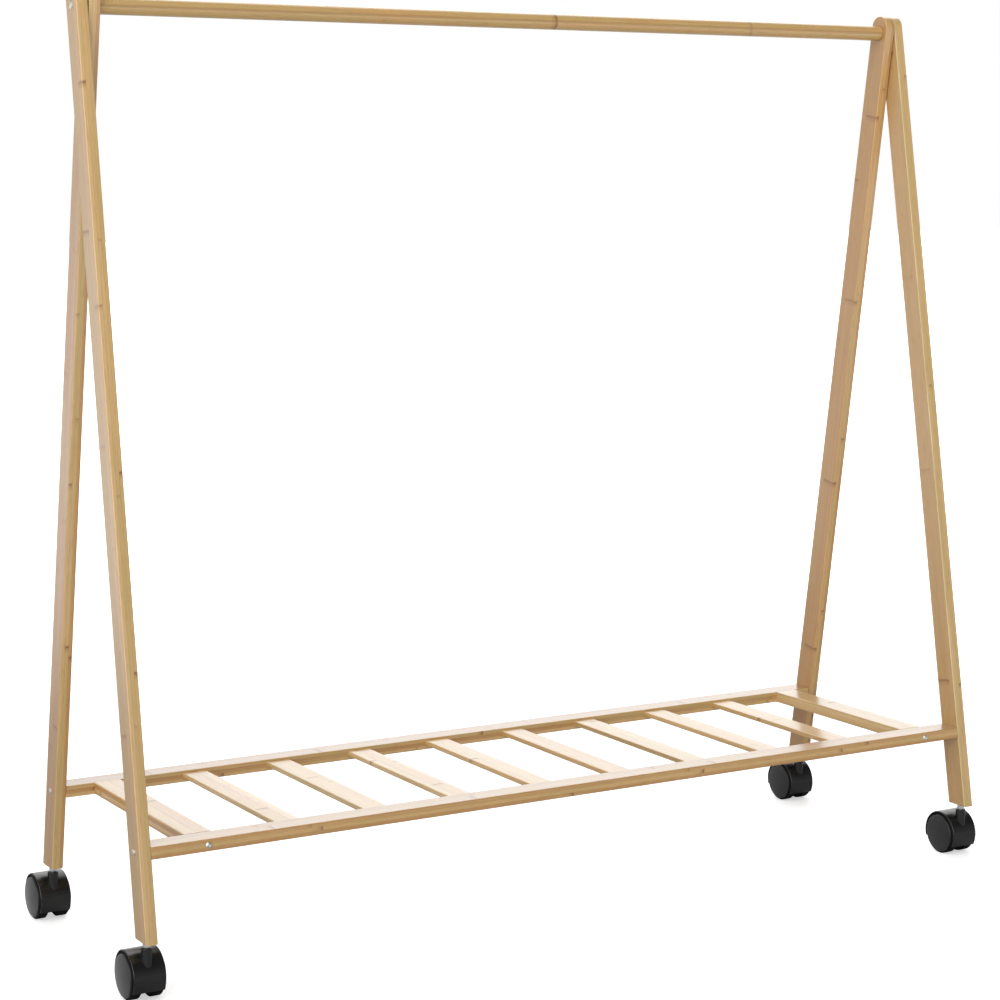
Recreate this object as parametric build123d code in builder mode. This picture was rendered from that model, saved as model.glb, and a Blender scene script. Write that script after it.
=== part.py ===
from build123d import *
import os
from math import cos, radians, sin, tan

os.makedirs("parts", exist_ok=True)

# A rolling clothes rack: two crossed pairs of bamboo legs, a round rod between their tops, a
# slatted shelf between their feet and four hooded twin-wheel casters.
# Millimetres. X runs along the rod, Y from front to back, Z up. The origin is on the floor, at
# the middle of the rack's box. The casters trail backwards, so the legs' plane is forward of it.

# ---------------------------------------------------------------- driving dimensions
board = 16.0  # thickness of every leg, rail and end bar
board_width = 35.0  # width of legs, rails and slats
rod_height = 1225.0  # rod axis above the floor
rod_radius = 11.0
lean = 9.25  # degrees, each leg from the vertical
crown_rise = 8.0  # centre of a leg's round top above the rod axis
foot_height = 76.0  # level cut at the bottom of the legs
front_leg_face = 643.0  # X of the front legs' inner faces
washer_thickness = 1.0  # between the legs of a pair
edge_round = 1.6  # long edges of the bamboo
rail_end_chamfer = 1.0
rod_end_chamfer = 0.8
spare_depth = 1.0  # blind holes go this much deeper than what they hold

shelf_top = 193.0
end_bar_width = 38.0
slat_count = 8
slat_pitch = 127.5
shelf_offset = 7.0  # the cross members sit this much towards +X
slat_thickness = 7.0
slat_drop = 3.0  # slat tops below the rail tops

wheel_radius = 30.0
stem_trail = 21.8  # axle behind the stem
hood_radius = 32.5
hood_wall = 1.8
hood_half_width = 21.3
hood_back_angle = -18.0  # degrees from straight back, where the hood's shell starts
hood_front_angle = 210.0  # and where it ends, above the foot of the wheels at the front
hood_rim_round = 0.8
web_half_width = 6.0
web_hub_radius = 9.0
boss_radius = 7.2
boss_bottom = 38.0
boss_top = 69.0
boss_rim_round = 1.0
stem_radius = 4.0
stem_bottom = 44.0
stem_top = 112.0
stem_chamfer = 0.8
collar_radius = 5.0
collar_chamfer = 0.5
axle_radius = 3.0
axle_head_radius = 4.2
axle_head_start = 17.9  # from the middle of the caster, like the places along the axle below
axle_head_end = 19.2
axle_chamfer = 0.5
hub_start = 6.4
hub_end = 17.6
hub_radius = 8.0
tread_start = 8.0
rim_face = 21.5
rim_inner_radius = 25.0
wheel_web_start = 12.5
wheel_web_end = 15.5
wheel_web_rise = 9.0  # radius where the hub's cone meets the web
tread_chamfer = 1.2
cap_radius = 27.0
cap_back = 19.6
cap_edge = 23.6
cap_crown = 25.8
cap_edge_round = 1.2
running_clearance = 0.05  # radial, where a piece turns
fixed_clearance = 0.02  # radial, where a piece is pressed or glued in
face_gap = 0.3  # between faces that slide past each other
same_size = 0.01  # lengths closer than this count as equal

# ---------------------------------------------------------------- sizes that follow
back_leg_face = front_leg_face - washer_thickness - board
front_leg_x = front_leg_face + board / 2
back_leg_x = back_leg_face + board / 2
lean_slope = tan(radians(lean))
foot_reach = (rod_height - foot_height) * lean_slope
leg_half_level = board_width / 2 / cos(radians(lean))
front_reach = foot_reach + leg_half_level
back_reach = foot_reach + stem_trail + hood_radius
frame_y = (front_reach - back_reach) / 2  # Y of the rod, so that the box is centred on the origin
rail_height = shelf_top - board / 2
rail_reach = (rod_height - rail_height) * lean_slope
bar_length = 2 * rail_reach - board_width
slat_height = shelf_top - slat_drop - slat_thickness / 2
end_bar_reach = (slat_count + 1) / 2 * slat_pitch
end_bar_places = [shelf_offset - end_bar_reach, shelf_offset + end_bar_reach]
slat_places = [shelf_offset + (i - (slat_count - 1) / 2) * slat_pitch for i in range(slat_count)]

# ---------------------------------------------------------------- fasteners
bolt_head_radius = 4.2
bolt_head_height = 2.4
bolt_head_rim = 0.7  # height of the head's straight side, under its dome
bolt_end_chamfer = 0.6
hex_share = 0.42  # the socket's half width, as a share of the head's radius
hex_depth = 1.6
bolt_radius = 2.5
bolt_hole_radius = 2.6
top_bolt_radius = 3.0
top_bolt_hole_radius = 3.1
top_bolt_head_radius = 5.2
top_bolt_reach = 24.0  # into the rod
insert_radius = 5.0
insert_length = 26.0
rail_bolt_reach = 36.0  # into the rail
nut_setback = 28.0  # cross dowel nut from the rail's end
nut_radius = 5.0
nut_height = 12.0
nut_hole_top = rail_height + nut_height / 2 + face_gap
bar_screw_reach = 42.0  # into the end bar
dowel_radius = 2.0
dowel_length = 24.0
dowel_hole_depth = dowel_length / 2 + spare_depth
socket_radius = 5.5
socket_length = 38.0
washer_radius = 8.0


def save(piece, name):
    """Label a finished piece and write it."""
    piece.part.label = name
    export_step(piece.part, f"parts/{name}.step")


def leg_y(front_back, height):
    """Y of a leg's centre line at a height. front_back is -1 for a front leg, 1 for a back leg."""
    return frame_y + front_back * (rod_height - height) * lean_slope


# ---------------------------------------------------------------- legs
def leg(x, front_back):
    """A leaning board with a half-round top and a level foot."""
    tilt = radians(lean)
    up = Vector(-front_back * sin(tilt), cos(tilt))
    across = Vector(cos(tilt), front_back * sin(tilt))
    crown_height = rod_height + crown_rise
    crown = Vector(leg_y(front_back, crown_height), crown_height)
    foot = Vector(leg_y(front_back, foot_height), foot_height)
    half = board_width / 2
    with BuildPart() as piece:
        with BuildSketch(Plane.YZ.offset(x)):
            with BuildLine():
                Line(foot + Vector(leg_half_level, 0), crown + across * half)
                ThreePointArc(crown + across * half, crown + up * half, crown - across * half)
                Line(crown - across * half, foot - Vector(leg_half_level, 0))
                Line(foot - Vector(leg_half_level, 0), foot + Vector(leg_half_level, 0))
            make_face()
        extrude(amount=board / 2, both=True)
        fillet(piece.faces().filter_by(Axis.X).edges(), radius=edge_round)
        with Locations(Location((x, frame_y, rod_height), (0, 90, 0))):
            Hole(top_bolt_hole_radius)
        with Locations(Location((x, leg_y(front_back, rail_height), rail_height), (0, 90, 0))):
            Hole(bolt_hole_radius)
        with Locations(Location((x, foot.X, foot_height), (180, 0, 0))):
            Hole(socket_radius + fixed_clearance, depth=socket_length + spare_depth)
    return piece


for side, side_name in ((-1, "left"), (1, "right")):
    save(leg(side * front_leg_x, -1), f"front_{side_name}_leg")
    save(leg(side * back_leg_x, 1), f"back_{side_name}_leg")

# ---------------------------------------------------------------- hanging rod
with BuildPart() as hanging_rod:
    with BuildSketch(Plane.YZ.offset(-back_leg_face)):
        with Locations((frame_y, rod_height)):
            Circle(rod_radius)
    extrude(amount=2 * back_leg_face)
    chamfer(hanging_rod.faces().filter_by(Axis.X).edges(), length=rod_end_chamfer)
    for side in (-1, 1):
        with Locations(Location((side * back_leg_face, frame_y, rod_height), (0, side * 90, 0))):
            Hole(insert_radius + fixed_clearance, depth=insert_length)
save(hanging_rod, "hanging_rod")


# ---------------------------------------------------------------- shelf
def rail(front_back, half_length):
    """A long rail between two legs, drilled for its bolts, nuts, end bar screws and dowels."""
    y = leg_y(front_back, rail_height)
    inner_y = y - front_back * board_width / 2
    with BuildPart() as piece:
        with BuildSketch(Plane.YZ.offset(-half_length)):
            with Locations((y, rail_height)):
                Rectangle(board_width, board)
        extrude(amount=2 * half_length)
        fillet(piece.edges().filter_by(Axis.X), radius=edge_round)
        chamfer(piece.faces().filter_by(Axis.X).edges(), length=rail_end_chamfer)
        for side in (-1, 1):
            with Locations(Location((side * half_length, y, rail_height), (0, side * 90, 0))):
                Hole(bolt_hole_radius, depth=rail_bolt_reach + spare_depth)
            nut_x = side * (half_length - nut_setback)
            with Locations(Location((nut_x, y, shelf_top - board), (180, 0, 0))):
                Hole(nut_radius + fixed_clearance, depth=nut_hole_top - shelf_top + board)
        with Locations(*[Location((x, y, rail_height), (90, 0, 0)) for x in end_bar_places]):
            Hole(bolt_radius + fixed_clearance)
        dowel_turn = (-90 * front_back, 0, 0)
        with Locations(*[Location((x, inner_y, slat_height), dowel_turn) for x in slat_places]):
            Hole(dowel_radius + fixed_clearance, depth=dowel_hole_depth)
    return piece


def cross_member(x, width, thickness, height, hole_radius, hole_depth):
    """A bar or slat between the rails, drilled in both ends for its screw or dowel."""
    with BuildPart() as piece:
        with BuildSketch(Plane.XZ.offset(-frame_y)):
            with Locations((x, height)):
                Rectangle(width, thickness)
        extrude(amount=bar_length / 2, both=True)
        fillet(piece.edges().filter_by(Axis.Y), radius=edge_round)
        for end in (-1, 1):
            end_y = frame_y + end * bar_length / 2
            with Locations(Location((x, end_y, height), (-90 * end, 0, 0))):
                Hole(hole_radius + fixed_clearance, depth=hole_depth)
    return piece


save(rail(-1, front_leg_face), "front_rail")
save(rail(1, back_leg_face), "back_rail")
bar_hole_depth = bar_screw_reach + spare_depth
for x, side_name in zip(end_bar_places, ("left", "right")):
    end_bar = cross_member(x, end_bar_width, board, rail_height, bolt_radius, bar_hole_depth)
    save(end_bar, f"{side_name}_end_bar")
for number, x in enumerate(slat_places, start=1):
    slat = cross_member(x, board_width, slat_thickness, slat_height, dowel_radius, dowel_hole_depth)
    save(slat, f"shelf_slat_{number}")


# ---------------------------------------------------------------- bolts, nuts and dowels
def bolt(shank_radius, length, head_radius):
    """A dome-headed socket bolt along Z, with the underside of its head at Z = 0."""
    tip_radius = shank_radius - bolt_end_chamfer
    tip_top = bolt_end_chamfer - length
    rim_top = (head_radius, bolt_head_rim)
    with BuildPart() as piece:
        with BuildSketch(Plane.XZ):
            with BuildLine():
                Line((0, -length), (tip_radius, -length))
                Line((tip_radius, -length), (shank_radius, tip_top))
                Line((shank_radius, tip_top), (shank_radius, 0))
                Line((shank_radius, 0), (head_radius, 0))
                Line((head_radius, 0), rim_top)
                TangentArc((0, bolt_head_height), rim_top, tangent=(1, 0))
                Line((0, bolt_head_height), (0, -length))
            make_face()
        revolve(axis=Axis.Z)
        with BuildSketch(Plane.XY.offset(bolt_head_height)):
            RegularPolygon(radius=head_radius * hex_share, side_count=6, major_radius=False)
        extrude(amount=-hex_depth, mode=Mode.SUBTRACT)
    return piece


top_bolt = bolt(top_bolt_radius, 2 * board + washer_thickness + top_bolt_reach, top_bolt_head_radius)
rail_bolt = bolt(bolt_radius, board + rail_bolt_reach, bolt_head_radius)
bar_screw = bolt(bolt_radius, board_width + bar_screw_reach, bolt_head_radius)

with BuildPart() as top_bolts:
    for side in (-1, 1):
        outer_face = side * (front_leg_face + board)
        with Locations(Location((outer_face, frame_y, rod_height), (0, side * 90, 0))):
            add(top_bolt.part)
save(top_bolts, "top_bolts")

with BuildPart() as rail_bolts:
    for side in (-1, 1):
        for front_back, inner_face in ((-1, front_leg_face), (1, back_leg_face)):
            corner = (side * (inner_face + board), leg_y(front_back, rail_height), rail_height)
            with Locations(Location(corner, (0, side * 90, 0))):
                add(rail_bolt.part)
save(rail_bolts, "rail_bolts")

with BuildPart() as end_bar_screws:
    for x in end_bar_places:
        for front_back in (-1, 1):
            face_y = leg_y(front_back, rail_height) + front_back * board_width / 2
            with Locations(Location((x, face_y, rail_height), (-90 * front_back, 0, 0))):
                add(bar_screw.part)
save(end_bar_screws, "end_bar_screws")

with BuildPart() as pivot_washers:
    for side in (-1, 1):
        washer_x = side * (front_leg_face - washer_thickness / 2)
        with BuildSketch(Plane.YZ.offset(washer_x)):
            with Locations((frame_y, rod_height)):
                Circle(washer_radius)
                Circle(top_bolt_hole_radius, mode=Mode.SUBTRACT)
        extrude(amount=washer_thickness / 2, both=True)
save(pivot_washers, "pivot_washers")

with BuildPart() as rod_inserts:
    for side in (-1, 1):
        insert_x = side * (back_leg_face - insert_length / 2)
        with BuildSketch(Plane.YZ.offset(insert_x)):
            with Locations((frame_y, rod_height)):
                Circle(insert_radius)
                Circle(top_bolt_radius + fixed_clearance, mode=Mode.SUBTRACT)
        extrude(amount=insert_length / 2, both=True)
save(rod_inserts, "rod_inserts")

with BuildPart() as rail_nuts:
    for side in (-1, 1):
        for front_back, inner_face in ((-1, front_leg_face), (1, back_leg_face)):
            nut_y = leg_y(front_back, rail_height)
            nut_place = (side * (inner_face - nut_setback), nut_y, rail_height)
            with Locations(nut_place):
                Cylinder(nut_radius, nut_height)
            with Locations(Location(nut_place, (0, 90, 0))):
                Cylinder(bolt_radius + fixed_clearance, 4 * nut_radius, mode=Mode.SUBTRACT)
save(rail_nuts, "rail_nuts")

with BuildPart() as slat_dowels:
    for front_back in (-1, 1):
        joint_y = frame_y + front_back * bar_length / 2
        for x in slat_places:
            with BuildSketch(Plane.XZ.offset(-joint_y)):
                with Locations((x, slat_height)):
                    Circle(dowel_radius)
            extrude(amount=dowel_length / 2, both=True)
save(slat_dowels, "slat_dowels")

caster_places = {
    "front_left": (-front_leg_x, leg_y(-1, foot_height)),
    "front_right": (front_leg_x, leg_y(-1, foot_height)),
    "back_left": (-back_leg_x, leg_y(1, foot_height)),
    "back_right": (back_leg_x, leg_y(1, foot_height)),
}

with BuildPart() as stem_sockets:
    for x, y in caster_places.values():
        with BuildSketch(Plane.XY.offset(foot_height)):
            with Locations((x, y)):
                Circle(socket_radius)
                Circle(stem_radius + fixed_clearance, mode=Mode.SUBTRACT)
        extrude(amount=socket_length)
save(stem_sockets, "stem_sockets")


# ---------------------------------------------------------------- casters
def caster_stem(x, y):
    """A steel pin with a bright collar under the leg. The hood turns on its lower end."""
    collar_bottom = boss_top + face_gap
    with BuildPart() as piece:
        with BuildSketch(Plane.XZ.offset(-y)):
            with BuildLine():
                Polyline(
                    (x, stem_bottom),
                    (x + stem_radius - stem_chamfer, stem_bottom),
                    (x + stem_radius, stem_bottom + stem_chamfer),
                    (x + stem_radius, collar_bottom),
                    (x + collar_radius - collar_chamfer, collar_bottom),
                    (x + collar_radius, collar_bottom + collar_chamfer),
                    (x + collar_radius, foot_height - collar_chamfer),
                    (x + collar_radius - collar_chamfer, foot_height),
                    (x + stem_radius, foot_height),
                    (x + stem_radius, stem_top - stem_chamfer),
                    (x + stem_radius - stem_chamfer, stem_top),
                    (x, stem_top),
                    close=True,
                )
            make_face()
        revolve(axis=Axis((x, y, 0), (0, 0, 1)))
    return piece


def caster_hood(x, y):
    """A barrel shell over both wheels, a web between them and a boss for the stem."""
    centre = (y + stem_trail, wheel_radius)
    inner_radius = hood_radius - hood_wall
    sweep = hood_front_angle - hood_back_angle
    with BuildPart() as piece:
        with BuildSketch(Plane.XY.offset(boss_bottom)):
            with Locations((x, y)):
                Circle(boss_radius)
        extrude(amount=boss_top - boss_bottom)
        for side in (-1, 1):
            with BuildSketch(Plane.YZ.offset(x + side * (web_half_width + hood_half_width / 2))):
                with Locations(centre):
                    Circle(inner_radius)
            extrude(amount=hood_half_width / 2, both=True, mode=Mode.SUBTRACT)
        with BuildSketch(Plane.YZ.offset(x)):
            with BuildLine():
                outer = CenterArc(centre, hood_radius, hood_back_angle, sweep)
                inner = CenterArc(centre, inner_radius, hood_back_angle, sweep)
                Line(outer @ 0, inner @ 0)
                Line(outer @ 1, inner @ 1)
            make_face()
        extrude(amount=hood_half_width, both=True)
        with BuildSketch(Plane.YZ.offset(x)):
            with BuildLine():
                rim = CenterArc(centre, inner_radius + hood_wall / 2, hood_back_angle, sweep)
                Polyline(rim @ 1, (centre[0], centre[1] - web_hub_radius), rim @ 0)
            make_face()
            with Locations(centre):
                Circle(web_hub_radius)
        extrude(amount=web_half_width, both=True)
        rims = piece.edges().filter_by(GeomType.CIRCLE)
        rims = rims.filter_by(lambda edge: abs(edge.radius - hood_radius) < same_size)
        rims = rims.filter_by(lambda edge: abs(abs(edge.center().X - x) - hood_half_width) < same_size)
        fillet(rims, radius=hood_rim_round)
        boss_rim = piece.edges().filter_by(GeomType.CIRCLE).sort_by(Axis.Z)[-1]
        fillet(boss_rim, radius=boss_rim_round)
        with Locations((x, y, boss_top)):
            Hole(stem_radius + running_clearance, depth=boss_top - stem_bottom + spare_depth)
        with Locations(Location((x, centre[0], wheel_radius), (0, 90, 0))):
            Hole(axle_radius + fixed_clearance)
    return piece


def caster_axle(x, axle_y):
    """A riveted pin through the hood's web that both wheels turn on."""
    with BuildPart() as piece:
        with BuildSketch(Plane.YZ.offset(x)):
            with Locations((axle_y, wheel_radius)):
                Circle(axle_radius)
        extrude(amount=axle_head_end, both=True)
        for side in (-1, 1):
            with BuildSketch(Plane.YZ.offset(x + side * (axle_head_start + axle_head_end) / 2)):
                with Locations((axle_y, wheel_radius)):
                    Circle(axle_head_radius)
            extrude(amount=(axle_head_end - axle_head_start) / 2, both=True)
        chamfer(piece.faces().sort_by(Axis.X)[0].edges(), length=axle_chamfer)
        chamfer(piece.faces().sort_by(Axis.X)[-1].edges(), length=axle_chamfer)
    return piece


def wheel_plane(x, axle_y, side):
    """Local X runs outwards along the axle, local Y is the radius."""
    return Plane(origin=(x, axle_y, wheel_radius), x_dir=(side, 0, 0), z_dir=(0, -side, 0))


def caster_wheel(x, axle_y, side):
    """A moulded wheel: tread, dished web, and a hub that runs on the axle."""
    bore = axle_radius + running_clearance
    cap_seat_radius = cap_radius + fixed_clearance
    with BuildPart() as piece:
        with BuildSketch(wheel_plane(x, axle_y, side)):
            with BuildLine():
                Polyline(
                    (hub_start, bore),
                    (hub_start, hub_radius),
                    (wheel_web_start, wheel_web_rise),
                    (wheel_web_start, rim_inner_radius),
                    (tread_start, cap_radius),
                    (tread_start, wheel_radius - tread_chamfer),
                    (tread_start + tread_chamfer, wheel_radius),
                    (rim_face - tread_chamfer, wheel_radius),
                    (rim_face, wheel_radius - tread_chamfer),
                    (rim_face, cap_seat_radius),
                    (cap_back, cap_seat_radius),
                    (cap_back, rim_inner_radius),
                    (wheel_web_end, rim_inner_radius),
                    (wheel_web_end, wheel_web_rise),
                    (hub_end, hub_radius),
                    (hub_end, bore),
                    close=True,
                )
            make_face()
        revolve(axis=Axis((x, axle_y, wheel_radius), (side, 0, 0)))
    return piece


def wheel_cap(x, axle_y, side):
    """A domed disc that closes the wheel's outer face and stands proud of its rim."""
    with BuildPart() as piece:
        with BuildSketch(wheel_plane(x, axle_y, side)) as profile:
            with BuildLine():
                Line((cap_back, 0), (cap_back, cap_radius))
                Line((cap_back, cap_radius), (cap_edge, cap_radius))
                TangentArc((cap_crown, 0), (cap_edge, cap_radius), tangent=(0, 1))
                Line((cap_crown, 0), (cap_back, 0))
            make_face()
            outer_corner = profile.vertices().group_by(Axis.Y)[-1].sort_by(Axis.X)[-1]
            fillet(outer_corner, radius=cap_edge_round)
        revolve(axis=Axis((x, axle_y, wheel_radius), (side, 0, 0)))
    return piece


for corner, (x, y) in caster_places.items():
    axle_y = y + stem_trail
    save(caster_stem(x, y), f"{corner}_caster_stem")
    save(caster_hood(x, y), f"{corner}_caster_hood")
    save(caster_axle(x, axle_y), f"{corner}_caster_axle")
    for side, side_name in ((-1, "left"), (1, "right")):
        save(caster_wheel(x, axle_y, side), f"{corner}_caster_{side_name}_wheel")
        save(wheel_cap(x, axle_y, side), f"{corner}_caster_{side_name}_cap")
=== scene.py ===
import math

import bpy
from mathutils import Matrix, Vector


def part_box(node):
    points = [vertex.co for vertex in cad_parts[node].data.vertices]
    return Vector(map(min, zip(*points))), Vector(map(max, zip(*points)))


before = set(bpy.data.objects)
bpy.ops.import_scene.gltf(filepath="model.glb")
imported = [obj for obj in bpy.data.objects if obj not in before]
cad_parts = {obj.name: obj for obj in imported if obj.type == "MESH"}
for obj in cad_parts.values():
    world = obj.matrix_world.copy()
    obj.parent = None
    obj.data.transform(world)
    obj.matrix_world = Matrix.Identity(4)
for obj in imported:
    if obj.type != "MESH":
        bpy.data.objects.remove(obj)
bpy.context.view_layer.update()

CORNERS = ("front_left", "front_right", "back_left", "back_right")
SIDES = ("left", "right")
STEEL_NODES = ("top_bolts", "rail_bolts", "end_bar_screws", "rod_inserts", "rail_nuts", "stem_sockets")
SLAT_COUNT = 8


# ---------------------------------------------------------------- node trees
def srgb(red, green, blue):
    """A linear colour from 0-255 display values."""
    def linear(value):
        share = value / 255
        return share / 12.92 if share <= 0.04045 else ((share + 0.055) / 1.055) ** 2.4
    return (linear(red), linear(green), linear(blue), 1.0)


class Tree:
    """Short calls that add nodes to one node tree. A socket given as a value is linked."""

    def __init__(self, tree):
        self.tree = tree

    def add(self, kind, inputs=None, **settings):
        made = self.tree.nodes.new(kind)
        for name, value in settings.items():
            setattr(made, name, value)
        for name, value in (inputs or {}).items():
            if isinstance(value, bpy.types.NodeSocket):
                self.tree.links.new(value, made.inputs[name])
            else:
                made.inputs[name].default_value = value
        return made

    def math(self, operation, first, second=0.0, third=0.0):
        values = {0: first, 1: second, 2: third}
        return self.add("ShaderNodeMath", values, operation=operation).outputs[0]

    def scale(self, vector, factors):
        values = {0: vector, 1: factors}
        return self.add("ShaderNodeVectorMath", values, operation="MULTIPLY").outputs[0]

    def step(self, value, start, end, low=0.0, high=1.0):
        """Low before start, high after end, and a smooth rise between."""
        values = {"Value": value, "From Min": start, "From Max": end, "To Min": low, "To Max": high}
        made = self.add("ShaderNodeMapRange", values, interpolation_type="SMOOTHSTEP")
        return made.outputs["Result"]

    def noise(self, vector, scale, detail=2.0, roughness=0.5):
        values = {"Vector": vector, "Scale": scale, "Detail": detail, "Roughness": roughness}
        return self.add("ShaderNodeTexNoise", values).outputs["Fac"]

    def stretched(self, vector, kind, detail, roughness=0.5):
        """Noise drawn out along an axis. The kind holds the factors on its place, and its scale."""
        factors, scale = kind
        return self.noise(self.scale(vector, factors), scale, detail, roughness)

    def mix(self, factor, first, second):
        values = {"Factor": factor, 6: first, 7: second}
        return self.add("ShaderNodeMix", values, data_type="RGBA").outputs[2]

    def random(self, *coordinates):
        """Three random values, the same over one cell."""
        values = dict(zip("XYZ", coordinates))
        cell = self.add("ShaderNodeCombineXYZ", values).outputs[0]
        made = self.add("ShaderNodeTexWhiteNoise", {"Vector": cell})
        parts = self.add("ShaderNodeSeparateXYZ", {0: made.outputs["Color"]})
        return parts.outputs


def surface(name):
    """A new material with its tree, and the shader whose own sockets hold the constants."""
    made = bpy.data.materials.new(name)
    made.use_nodes = True
    shader = next(n for n in made.node_tree.nodes if n.type == "BSDF_PRINCIPLED")
    return made, Tree(made.node_tree), shader


def bump(tree, shader, height, depth, strength=1.0):
    """Raises the surface by height times depth, in metres."""
    values = {"Height": height, "Distance": depth, "Strength": strength}
    made = tree.add("ShaderNodeBump", values)
    tree.tree.links.new(made.outputs["Normal"], shader.inputs["Normal"])


# ---------------------------------------------------------------- bamboo
INTERNODE = 0.30         # metres between the growth rings of one strip
RING_SCATTER = 0.3       # how far a ring may sit from its even place, as a share of INTERNODE
RING_PLACE = 0.65        # the even place of a ring, as a share of INTERNODE
RING_SWAY = 0.0035       # metres that a ring bows along the grain
RING_CORE = 0.0004       # half width of a ring's dark line, and where it has faded out
RING_EDGE = 0.0024
RING_HALO = 0.010        # the browner zone before a ring, and the shorter one after it
RING_FULL = 0.001        # before the ring, the zone is full from here on
RING_AFTER = 0.004
RING_PHASES = 7.0        # internodes over which the strips' rings are spread
RING_SHOWN = (0.30, 0.85)  # random values between which a ring comes in
RING_STRENGTH = 0.62
STAGGER = 0.37           # each layer's strips are shifted by this share of a strip
GLUE_CORE = 0.00008      # half width of a glue line, and where it has faded out
GLUE_EDGE = 0.00028
GLUE_STRENGTH = 0.45
DASH_SHOWN = (0.60, 0.70)  # noise values between which a feature comes in
DASH_STRENGTH = 0.36
THREAD_SHOWN = (0.50, 0.80)
THREAD_STRENGTH = 0.32
OLIVE_PHASE = 0.30       # how much a strip's own phase adds to its olive
OLIVE_SHOWN = (0.56, 0.80)
OLIVE_STRENGTH = 0.70
WARM_SHOWN = (0.00, 0.50)  # shades between which the pale wood turns warm, and then brown
BROWN_SHOWN = (0.45, 0.95)
TONE_SHARE = 0.80        # how much each feature browns the wood: a strip's own tone,
DENSITY_SHARE = 0.16     # its dense side,
STREAK_SHARE = 0.45      # broad streaks
CLOUD_SHARE = 0.35       # and slow patches
SHADE_OFFSET = 0.45      # taken off their sum
LAYER_COUNT = 3          # layers in a rail
STRIP_SHARE = 0.8        # a strip's width, as a share of a rail's
ROD_STRIP = 6            # the rod's strip, in thicknesses of the rod
STRIPS_APART = 11        # from one board to the next in the pattern
LAYERS_APART = 5
LENGTH_APART = 1.37      # metres
GRAIN_DEPTH = 0.00012    # metres of relief for a height of one
THREAD_HEIGHT = 0.5
STREAK_HEIGHT = 0.4
DASH_HEIGHT = -0.5
RING_HEIGHT = -0.8
GLUE_HEIGHT = -0.7
WOOD_ROUGHNESS = 0.28
THREAD_ROUGHER = 0.16
HALO_ROUGHER = 0.08
# Noises in the wood: the factors on its place, where a small one draws it out, and its scale.
SWAY_NOISE = ((1.0, 1.0, 0.1), 160.0)
STREAK_NOISE = ((1.0, 1.0, 0.010), 330.0)
THREAD_NOISE = ((1.0, 1.0, 0.012), 1700.0)
VESSEL_NOISE = ((1.0, 1.0, 0.035), 1250.0)
CLOUD_NOISE = ((1.0, 1.0, 0.07), 75.0)
BAMBOO_PALE = srgb(221, 188, 134)
BAMBOO_WARM = srgb(213, 173, 113)
BAMBOO_BROWN = srgb(190, 137, 78)
BAMBOO_OLIVE = srgb(200, 171, 110)
FIBRE_BROWN = srgb(160, 114, 68)
RING_BROWN = srgb(168, 118, 74)
RING_DARK = srgb(116, 78, 44)
GLUE_BROWN = srgb(150, 108, 66)

# Painted shade: boards made browner all over than the rest, the rod for its shaded underside and the back
# boards for the shade they sit in.
PAINTED_SHADE = {
    "bamboo_hanging_rod": 0.38,
    "bamboo_back_rail": 0.30,
    "bamboo_back_left_leg": 0.20,
    "bamboo_back_right_leg": 0.15,
    "bamboo_left_end_bar": 0.20,
}


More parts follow.
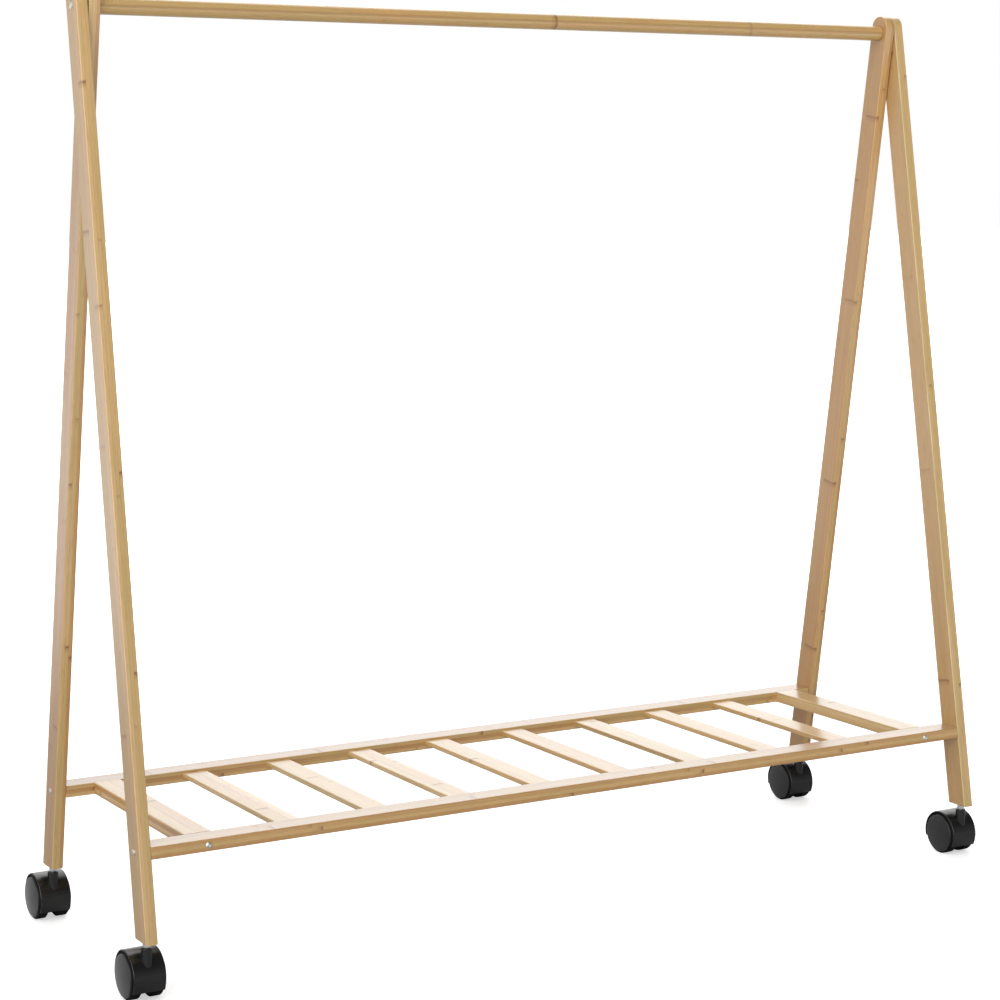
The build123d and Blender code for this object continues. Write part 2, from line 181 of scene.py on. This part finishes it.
def bamboo_group():
    """Laminated bamboo as a solid pattern.

    Grain holds metres: X across the strips, Y through the layers, Z along the fibres.
    """
    group = bpy.data.node_groups.new("laminated_bamboo", "ShaderNodeTree")
    group.interface.new_socket("Grain", in_out="INPUT", socket_type="NodeSocketVector")
    for name in ("Strip", "Layer", "Shade"):
        group.interface.new_socket(name, in_out="INPUT", socket_type="NodeSocketFloat")
    group.interface.new_socket("Color", in_out="OUTPUT", socket_type="NodeSocketColor")
    for name in ("Roughness", "Height"):
        group.interface.new_socket(name, in_out="OUTPUT", socket_type="NodeSocketFloat")
    tree = Tree(group)
    given = tree.add("NodeGroupInput").outputs
    x, y, z = tree.add("ShaderNodeSeparateXYZ", {0: given["Grain"]}).outputs

    layer = tree.math("DIVIDE", y, given["Layer"])
    layer_number = tree.math("FLOOR", layer)
    strip = tree.math("MULTIPLY_ADD", layer_number, STAGGER, tree.math("DIVIDE", x, given["Strip"]))
    strip_number = tree.math("FLOOR", strip)
    phase, flip, tone = tree.random(strip_number, layer_number, 0.5)

    # The dense side of a strip, near the culm's skin, is browner.
    in_layer = tree.math("FRACT", layer)
    turned = tree.math("SUBTRACT", 1.0, in_layer)
    flipped = tree.math("GREATER_THAN", flip, 0.5)
    density = tree.add("ShaderNodeMix", {"Factor": flipped, 2: in_layer, 3: turned}).outputs[0]

    # Growth rings, staggered from strip to strip and slightly bowed.
    sway = tree.stretched(given["Grain"], SWAY_NOISE, 1.0)
    along = tree.math("MULTIPLY_ADD", sway, RING_SWAY, z)
    turns = tree.math("MULTIPLY_ADD", along, 1 / INTERNODE, tree.math("MULTIPLY", phase, RING_PHASES))
    ring_number = tree.math("FLOOR", turns)
    ring = tree.random(strip_number, layer_number, ring_number)
    even_place = tree.math("SUBTRACT", tree.math("FRACT", turns), RING_PLACE)
    place = tree.math("MULTIPLY_ADD", ring["Z"], RING_SCATTER, even_place)
    gap = tree.math("MULTIPLY", place, INTERNODE)
    line = tree.step(tree.math("ABSOLUTE", gap), RING_CORE, RING_EDGE, 1.0, 0.0)
    before = tree.step(gap, -RING_HALO, -RING_FULL)
    after = tree.step(gap, 0.0, RING_AFTER, 1.0, 0.0)
    halo = tree.math("MULTIPLY", before, after)
    weight = tree.math("MULTIPLY", tree.step(ring["X"], *RING_SHOWN), RING_STRENGTH)

    # Fibres: broad streaks, fine threads and short dark dashes, all along the grain.
    streak = tree.stretched(given["Grain"], STREAK_NOISE, 3.0, 0.6)
    thread = tree.stretched(given["Grain"], THREAD_NOISE, 2.0, 0.6)
    vessel = tree.stretched(given["Grain"], VESSEL_NOISE, 1.0)
    dash = tree.step(vessel, *DASH_SHOWN)
    cloud = tree.stretched(given["Grain"], CLOUD_NOISE, 2.0)

    # Glue lines between strips and layers.
    strip_edge = tree.math("MULTIPLY", tree.math("PINGPONG", strip, 0.5), given["Strip"])
    layer_edge = tree.math("MULTIPLY", tree.math("PINGPONG", layer, 0.5), given["Layer"])
    nearest = tree.math("MINIMUM", strip_edge, layer_edge)
    glue = tree.step(nearest, GLUE_CORE, GLUE_EDGE, 1.0, 0.0)

    shade = tree.math("MULTIPLY_ADD", tone, TONE_SHARE, tree.math("MULTIPLY", density, DENSITY_SHARE))
    shade = tree.math("MULTIPLY_ADD", streak, STREAK_SHARE, shade)
    shade = tree.math("MULTIPLY_ADD", cloud, CLOUD_SHARE, tree.math("SUBTRACT", shade, SHADE_OFFSET))
    # A board's painted shade, given from outside, browns it all over.
    shade = tree.math("ADD", shade, given["Shade"])
    colour = tree.mix(tree.step(shade, *WARM_SHOWN), BAMBOO_PALE, BAMBOO_WARM)
    colour = tree.mix(tree.step(shade, *BROWN_SHOWN), colour, BAMBOO_BROWN)
    greener = tree.math("MULTIPLY_ADD", phase, OLIVE_PHASE, cloud)
    colour = tree.mix(tree.step(greener, *OLIVE_SHOWN, 0.0, OLIVE_STRENGTH), colour, BAMBOO_OLIVE)
    colour = tree.mix(tree.step(thread, *THREAD_SHOWN, 0.0, THREAD_STRENGTH), colour, FIBRE_BROWN)
    colour = tree.mix(tree.math("MULTIPLY", dash, DASH_STRENGTH), colour, FIBRE_BROWN)
    colour = tree.mix(tree.math("MULTIPLY", halo, weight), colour, RING_BROWN)
    colour = tree.mix(tree.math("MULTIPLY", line, weight), colour, RING_DARK)
    colour = tree.mix(tree.math("MULTIPLY", glue, GLUE_STRENGTH), colour, GLUE_BROWN)

    rough = tree.math("MULTIPLY_ADD", thread, THREAD_ROUGHER, WOOD_ROUGHNESS)
    rough = tree.math("MULTIPLY_ADD", halo, HALO_ROUGHER, rough)
    height = tree.math("MULTIPLY_ADD", thread, THREAD_HEIGHT, tree.math("MULTIPLY", streak, STREAK_HEIGHT))
    height = tree.math("MULTIPLY_ADD", dash, DASH_HEIGHT, height)
    height = tree.math("MULTIPLY_ADD", line, RING_HEIGHT, height)
    height = tree.math("MULTIPLY_ADD", glue, GLUE_HEIGHT, height)
    tree.add("NodeGroupOutput", {"Color": colour, "Roughness": rough, "Height": height})
    return group


def bamboo(name, group, across, through, along, corner, strip, layer, number):
    """Bamboo for one board: its axes, a corner of its section in the frame, and its strips' size."""
    made, tree, shader = surface(name)
    axes = Matrix((across, through, along))
    # Whole strips and layers and an odd length further on, so that no two boards match.
    apart = Vector((strip * STRIPS_APART * number, layer * LAYERS_APART * number, LENGTH_APART * number))
    place = apart - axes @ Vector(corner)
    point = tree.add("ShaderNodeTexCoord").outputs["Object"]
    turn = {"Vector": point, "Rotation": axes.to_euler(), "Location": place}
    grain = tree.add("ShaderNodeMapping", turn).outputs[0]
    pattern = tree.add("ShaderNodeGroup", node_tree=group)
    tree.tree.links.new(grain, pattern.inputs["Grain"])
    # The Shade input takes the board's painted shade, where it has one.
    for key, value in (("Strip", strip), ("Layer", layer), ("Shade", PAINTED_SHADE.get(name, 0.0))):
        pattern.inputs[key].default_value = value
    tree.tree.links.new(pattern.outputs["Color"], shader.inputs["Base Color"])
    tree.tree.links.new(pattern.outputs["Roughness"], shader.inputs["Roughness"])
    shader.inputs["IOR"].default_value = 1.5
    shader.inputs["Coat Weight"].default_value = 1.0
    shader.inputs["Coat Roughness"].default_value = 0.2
    bump(tree, shader, pattern.outputs["Height"], GRAIN_DEPTH)
    return made


def paint(node, material):
    """Gives a CAD node one material in place of its plain ones."""
    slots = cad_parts[node].data.materials
    for i in range(max(len(slots), 1)):
        if i < len(slots):
            slots[i] = material
        else:
            slots.append(material)


def centre(node):
    low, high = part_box(node)
    return (low + high) / 2


def paint_bamboo():
    group = bamboo_group()
    x_axis, y_axis, z_axis = Vector((1, 0, 0)), Vector((0, 1, 0)), Vector((0, 0, 1))
    low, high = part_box("front_rail")
    width = high.y - low.y
    board = high.z - low.z
    strip = width * STRIP_SHARE
    layer = board / LAYER_COUNT
    number = 1
    rod = centre("hanging_rod")
    for corner in CORNERS:
        rail = centre(corner.split("_")[0] + "_rail")
        along = Vector((0, rod.y - rail.y, rod.z - rail.z)).normalized()
        across = along.cross(x_axis)
        edge = Vector((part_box(f"{corner}_leg")[0].x, rod.y, rod.z)) - across * width / 2
        leg = f"{corner}_leg"
        wood = bamboo(f"bamboo_{leg}", group, across, x_axis, along, edge, strip, layer, number)
        paint(leg, wood)
        number += 1
    for node in ("front_rail", "back_rail"):
        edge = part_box(node)[0]
        wood = bamboo(f"bamboo_{node}", group, y_axis, z_axis, x_axis, edge, strip, layer, number)
        paint(node, wood)
        number += 1
    end_bars = [f"{side}_end_bar" for side in SIDES]
    slats = [f"shelf_slat_{i + 1}" for i in range(SLAT_COUNT)]
    for node in end_bars + slats:
        edge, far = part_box(node)
        half = (far.x - edge.x) / 2
        wood = bamboo(f"bamboo_{node}", group, x_axis, z_axis, y_axis, edge, half, layer, number)
        paint(node, wood)
        number += 1
    low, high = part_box("hanging_rod")
    thick = high.z - low.z
    # No strip's edge lies on the rod. Its one layer is just as thick as it is, so the layer's
    # glue lines touch the rod along its front and its back, and show there as a faint darker line.
    wide = ROD_STRIP * thick
    wood = bamboo("bamboo_hanging_rod", group, z_axis, y_axis, x_axis, low, wide, thick, number)
    paint("hanging_rod", wood)
    dowels = bamboo("bamboo_slat_dowels", group, x_axis, z_axis, y_axis, low, strip, layer, number + 1)
    paint("slat_dowels", dowels)


# ---------------------------------------------------------------- metal and plastic
METAL_CLOUD = 220.0      # scale of the uneven tint
METAL_SCRATCH = ((1.0, 1.0, 14.0), 900.0)  # fine along Z, so the scratches lie level
METAL_DARKER = 0.82
SCRATCH_DEPTH = 0.00002  # metres
PLASTIC_CLOUD = 60.0     # scale of the uneven gloss and tint
PLASTIC_CELLS = 2600.0   # scale of the spark-eroded grain
PLASTIC_LIGHTER = 1.35
PLASTIC_LIFT = 0.002
PLASTIC_UNEVEN = 0.10    # how far the roughness varies
SHEEN_ROUGHNESS = 0.35
PATCHES = (0.35, 0.75)   # noise values between which a cloud's tint comes in


def metal(name, colour, roughness, scratch):
    """Plated metal with fine scratches, which are also rougher, and a slightly uneven tint."""
    made, tree, shader = surface(name)
    point = tree.add("ShaderNodeTexCoord").outputs["Object"]
    cloud = tree.noise(point, METAL_CLOUD, 3.0)
    scratches = tree.stretched(point, METAL_SCRATCH, 2.0)
    darker = tuple(channel * METAL_DARKER for channel in colour[:3]) + (1.0,)
    tint = tree.mix(tree.step(cloud, *PATCHES), colour, darker)
    tree.tree.links.new(tint, shader.inputs["Base Color"])
    rough = tree.math("MULTIPLY_ADD", scratches, scratch, roughness)
    tree.tree.links.new(rough, shader.inputs["Roughness"])
    shader.inputs["Metallic"].default_value = 1.0
    bump(tree, shader, scratches, SCRATCH_DEPTH)
    return made


def plastic(name, colour, roughness, grain_depth, level, sheen):
    """Moulded plastic with a fine spark-eroded grain and slightly uneven gloss."""
    made, tree, shader = surface(name)
    point = tree.add("ShaderNodeTexCoord").outputs["Object"]
    cloud = tree.noise(point, PLASTIC_CLOUD, 3.0)
    cells = tree.noise(point, PLASTIC_CELLS, 1.0)
    lighter = tuple(channel * PLASTIC_LIGHTER + PLASTIC_LIFT for channel in colour[:3]) + (1.0,)
    tint = tree.mix(tree.step(cloud, *PATCHES), colour, lighter)
    tree.tree.links.new(tint, shader.inputs["Base Color"])
    rough = tree.math("MULTIPLY_ADD", cloud, PLASTIC_UNEVEN, roughness)
    tree.tree.links.new(rough, shader.inputs["Roughness"])
    shader.inputs["Specular IOR Level"].default_value = level
    shader.inputs["Sheen Weight"].default_value = sheen
    shader.inputs["Sheen Roughness"].default_value = SHEEN_ROUGHNESS
    bump(tree, shader, cells, grain_depth)
    return made


def paint_hardware():
    steel = metal("zinc_plated_steel", srgb(236, 232, 224), roughness=0.34, scratch=0.18)
    chrome = metal("bright_chrome", srgb(238, 238, 240), roughness=0.05, scratch=0.06)
    hood = plastic("gloss_black_plastic", srgb(12, 13, 13),
                   roughness=0.20, grain_depth=0.00001, level=0.65, sheen=0.0)
    disc = plastic("satin_black_plastic", srgb(30, 30, 31),
                   roughness=0.28, grain_depth=0.00002, level=0.5, sheen=0.50)
    tyre = plastic("matt_black_plastic", srgb(6, 6, 6),
                   roughness=0.55, grain_depth=0.00003, level=0.15, sheen=0.0)
    washer = plastic("dark_washer_plastic", srgb(70, 62, 54),
                     roughness=0.40, grain_depth=0.00001, level=0.5, sheen=0.0)
    for node in STEEL_NODES:
        paint(node, steel)
    paint("pivot_washers", washer)
    for corner in CORNERS:
        paint(f"{corner}_caster_stem", chrome)
        paint(f"{corner}_caster_hood", hood)
        paint(f"{corner}_caster_axle", steel)
        for side in SIDES:
            paint(f"{corner}_caster_{side}_wheel", tyre)
            paint(f"{corner}_caster_{side}_cap", disc)


# ---------------------------------------------------------------- studio
CAMERA_PLACE = (-1.7716, -2.9691, 1.0194)  # metres
CAMERA_YAW = 30.44       # degrees from +Y towards +X
CAMERA_PITCH = -5.33
CAMERA_LENS = 88.68      # mm
CAMERA_SHIFT = -0.1
SENSOR_WIDTH = 36.0      # mm
# Soft round lights in the world: toward, degrees of full light, degrees where it ends, strength.
GLOWS = (
    ((0.45, 0.75, 0.95), 12, 34, 1.9),    # high behind
    ((0.55, 0.80, 0.20), 8, 28, 0.7),     # low behind
    ((-0.66, -0.60, 0.45), 22, 52, 2.05),  # from the front and left
)
FRONT_SKY = 0.32         # brightness of the world in front of the rack and behind it
BACK_SKY = 0.78
FRONT_TO_BACK = (-0.2, 0.6)  # the direction's Y between which it turns from one to the other
HIGH_SKY = 0.35          # what is left of that brightness overhead
LOW_TO_HIGH = (0.15, 0.60)   # the direction's Z between which it fades to that
FLOOR_REACH = 30.0       # metres from the middle to the floor's edges
FLOOR_BRIGHTENS = (1.2, 3.2)  # metres from the middle
FLOOR_NEAR = 0.5         # its glow to the camera near the rack, where the far floor's is 1
FLOOR_FAR_LIGHT = 0.65   # the far floor's glow to the rack, where the near floor's is 0
FLOOR_SEEN = (0.92, 0.92, 0.92, 1.0)
FLOOR_UNSEEN = (0.46, 0.46, 0.46, 1.0)  # its colour to the rack, darker than to the camera


def add_camera():
    data = bpy.data.cameras.new("camera")
    data.sensor_width = SENSOR_WIDTH
    data.lens = CAMERA_LENS
    data.shift_y = CAMERA_SHIFT
    camera = bpy.data.objects.new("camera", data)
    camera.location = CAMERA_PLACE
    camera.rotation_euler = (math.radians(90 + CAMERA_PITCH), 0, -math.radians(CAMERA_YAW))
    bpy.context.scene.collection.objects.link(camera)
    bpy.context.scene.camera = camera


def softbox(name, place, aim, width, height, power):
    data = bpy.data.lights.new(name, "AREA")
    data.shape = "RECTANGLE"
    data.size = width
    data.size_y = height
    data.energy = power
    lamp = bpy.data.objects.new(name, data)
    lamp.location = place
    lamp.rotation_euler = (Vector(aim) - Vector(place)).to_track_quat("-Z", "Y").to_euler()
    bpy.context.scene.collection.objects.link(lamp)


def glow(tree, direction, toward, inner, outer, strength):
    """A soft round light in the world, full within the inner angle and gone at the outer one."""
    values = {0: direction, 1: Vector(toward).normalized()}
    facing = tree.add("ShaderNodeVectorMath", values, operation="DOT_PRODUCT").outputs["Value"]
    edge, full = math.cos(math.radians(outer)), math.cos(math.radians(inner))
    return tree.step(facing, edge, full, 0.0, strength)


def add_world():
    """White to the camera. To the rack, a dim studio with a brighter back and three soft lights."""
    world = bpy.data.worlds.new("studio")
    world.use_nodes = True
    tree = Tree(world.node_tree)
    sky = next(n for n in world.node_tree.nodes if n.type == "BACKGROUND")
    direction = tree.add("ShaderNodeTexCoord").outputs["Generated"]
    parts = tree.add("ShaderNodeSeparateXYZ", {0: direction}).outputs
    light = tree.step(parts["Y"], *FRONT_TO_BACK, FRONT_SKY, BACK_SKY)
    light = tree.math("MULTIPLY", light, tree.step(parts["Z"], *LOW_TO_HIGH, 1.0, HIGH_SKY))
    for toward, inner, outer, power in GLOWS:
        light = tree.math("ADD", light, glow(tree, direction, toward, inner, outer, power))
    seen = tree.add("ShaderNodeLightPath").outputs["Is Camera Ray"]
    strength = tree.add("ShaderNodeMix", {"Factor": seen, 2: light, 3: 1.0}).outputs[0]
    tree.tree.links.new(strength, sky.inputs["Strength"])
    sky.inputs["Color"].default_value = (1.0, 1.0, 1.0, 1.0)
    bpy.context.scene.world = world


def add_floor():
    """A pale floor that brightens into the white backdrop away from the rack."""
    mesh = bpy.data.meshes.new("floor")
    corners = [(x * FLOOR_REACH, y * FLOOR_REACH, 0) for x, y in ((-1, -1), (1, -1), (1, 1), (-1, 1))]
    mesh.from_pydata(corners, [], [(0, 1, 2, 3)])
    floor = bpy.data.objects.new("floor", mesh)
    bpy.context.scene.collection.objects.link(floor)
    made, tree, shader = surface("pale_floor")
    seen = tree.add("ShaderNodeLightPath").outputs["Is Camera Ray"]
    tint = tree.mix(seen, FLOOR_UNSEEN, FLOOR_SEEN)
    tree.tree.links.new(tint, shader.inputs["Base Color"])
    shader.inputs["Roughness"].default_value = 0.8
    point = tree.add("ShaderNodeTexCoord").outputs["Object"]
    distance = tree.add("ShaderNodeVectorMath", {0: point}, operation="LENGTH").outputs["Value"]
    brightness = tree.step(distance, *FLOOR_BRIGHTENS)
    shown = tree.math("MULTIPLY_ADD", brightness, 1 - FLOOR_NEAR, FLOOR_NEAR)
    reflected = tree.math("MULTIPLY", brightness, FLOOR_FAR_LIGHT)
    emitted = tree.add("ShaderNodeMix", {"Factor": seen, 2: reflected, 3: shown}).outputs[0]
    tree.tree.links.new(emitted, shader.inputs["Emission Strength"])
    shader.inputs["Emission Color"].default_value = (1.0, 1.0, 1.0, 1.0)
    mesh.materials.append(made)


def add_lights():
    middle = (0.0, 0.0, 0.6)
    softbox("top_softbox", (-0.5, 0.2, 3.4), middle, width=3.2, height=2.4, power=3.0)


paint_bamboo()
paint_hardware()
add_camera()
add_world()
add_floor()
add_lights()
bpy.context.scene.view_settings.view_transform = "Standard"
